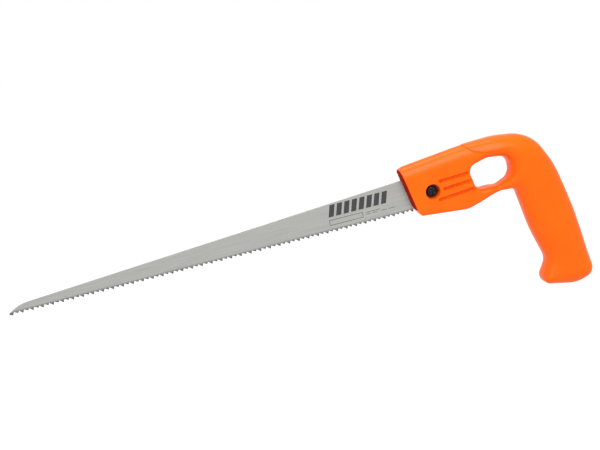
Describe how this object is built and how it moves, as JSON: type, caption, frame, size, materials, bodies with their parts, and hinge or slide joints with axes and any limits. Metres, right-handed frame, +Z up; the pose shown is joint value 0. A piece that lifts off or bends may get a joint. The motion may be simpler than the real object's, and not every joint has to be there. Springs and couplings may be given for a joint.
{
  "type": "compass saw",
  "caption": "Hand saw with a long tapered toothed blade clamped by one screw in a moulded pistol-grip handle with a finger hole.",
  "frame": {"origin": "middle of the saw's box in X and Y, at the level of the butt's lowest point", "axes": "+X along the line of tooth points from the tip towards the grip, +Z up away from the teeth, Y across the blade with the screw's head on the -Y side"},
  "size_m": [0.426, 0.026, 0.1233],
  "materials": {
    "blade_steel": "satin, fine lengthwise brushing, hardened tooth points darker",
    "handle_plastic": "smooth moulded polypropylene with a soft satin sheen",
    "black_steel": "black oxide",
    "zinc_steel": "bright zinc plated"
  },
  "bodies": {
    "handle": {"handle": "handle_plastic", "clamp_nut": "zinc_steel"},
    "blade": {"blade": "blade_steel"},
    "washer": {"screw_washer": "black_steel"},
    "screw": {"clamp_screw": "black_steel"}
  },
  "joints": [
    {"name": "blade_slide", "type": "slide", "parent": "handle", "child": "blade", "axis": [-1, 0, 0], "range_m": [0, 0.045]},
    {"name": "screw_lift", "type": "slide", "parent": "handle", "child": "washer", "axis": [0, -1, 0], "range_m": [0, 0.0016]},
    {"name": "screw_turn", "type": "hinge", "parent": "washer", "child": "screw", "pos_m": [0.10294, 0, 0.09548], "axis": [0, -1, 0], "range_deg": [0, 721]}
  ],
  "couplings": [
    {"joint": "screw_turn", "follows": "screw_lift", "rad_per_m": 7854}
  ]
}
